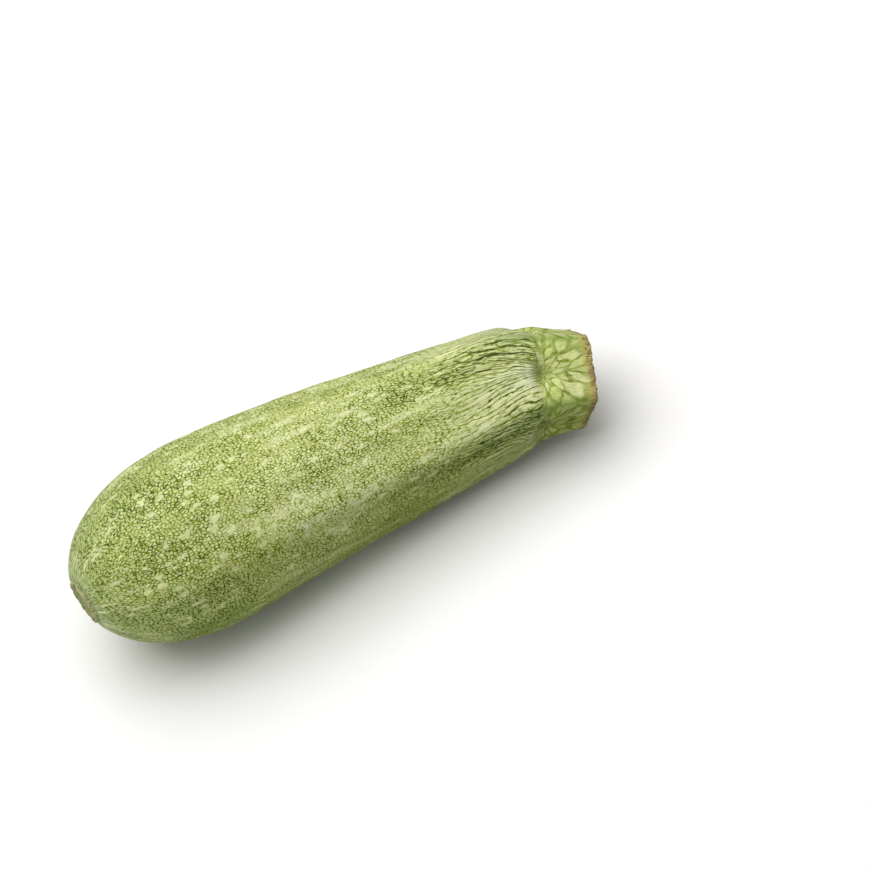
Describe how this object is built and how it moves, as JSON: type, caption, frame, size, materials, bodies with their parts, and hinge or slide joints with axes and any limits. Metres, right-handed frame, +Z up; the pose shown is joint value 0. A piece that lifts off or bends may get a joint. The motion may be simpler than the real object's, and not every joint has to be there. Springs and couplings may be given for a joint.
{
  "type": "summer squash",
  "caption": "Whole pale green courgette-type summer squash with a ridged cut stem stub and a blossom scar, lying on its side.",
  "frame": {"origin": "on the surface it lies on, under the middle of its bounding box", "axes": "+X along the fruit from the blossom end to the stem stub, +Z up"},
  "size_m": [0.173, 0.0582, 0.0574],
  "materials": {
    "skin": "waxy, finely netted pale green skin",
    "stem": "smooth ridged green stem, marbled pale and dark",
    "stem_cut": "dry cut face with a corky tan edge",
    "blossom_scar": "dry rough cork"
  },
  "bodies": {
    "root": {"squash": "skin"}
  },
  "joints": []
}
